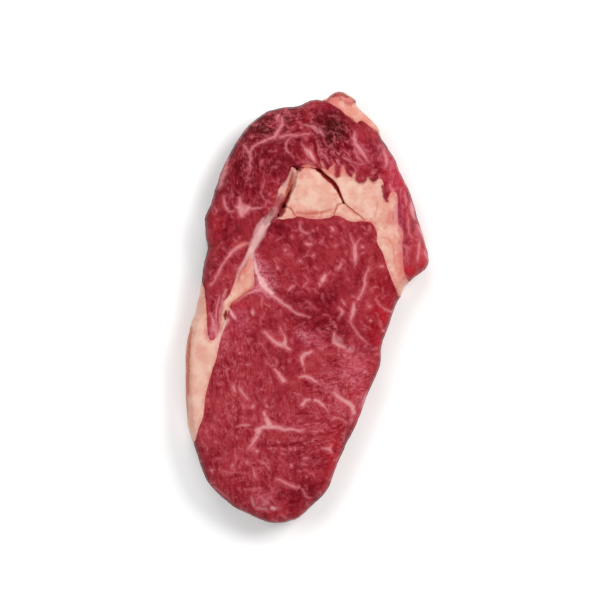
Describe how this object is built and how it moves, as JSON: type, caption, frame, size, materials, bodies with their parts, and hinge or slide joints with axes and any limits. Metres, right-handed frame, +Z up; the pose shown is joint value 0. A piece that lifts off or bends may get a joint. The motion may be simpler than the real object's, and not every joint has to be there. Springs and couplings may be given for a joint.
{
  "type": "ribeye steak",
  "caption": "Raw boneless ribeye steak, a flat slab of two marbled muscles parted by seams of fat, with a cracked wedge of hard fat between them.",
  "frame": {"origin": "on the surface that the steak lies on, under the middle of its bounding box", "axes": "+Z up out of the cut face that shows, +Y along the length from the round end of the eye to the lip of fat, +X towards the hooked end of the cap"},
  "size_m": [0.1219, 0.2164, 0.0216],
  "materials": {
    "lean": "raw lean beef, marbled, moist with a soft sheen",
    "fat": "raw beef fat, pinkish cream, waxy"
  },
  "bodies": {
    "root": {"eye_muscle": "lean", "cap_muscle": "lean", "fat_kernel": "fat", "fat_chip": "fat", "fat_wedge": "fat", "seam_fat": "fat", "edge_fat": "fat", "lip_fat": "fat"}
  },
  "joints": []
}
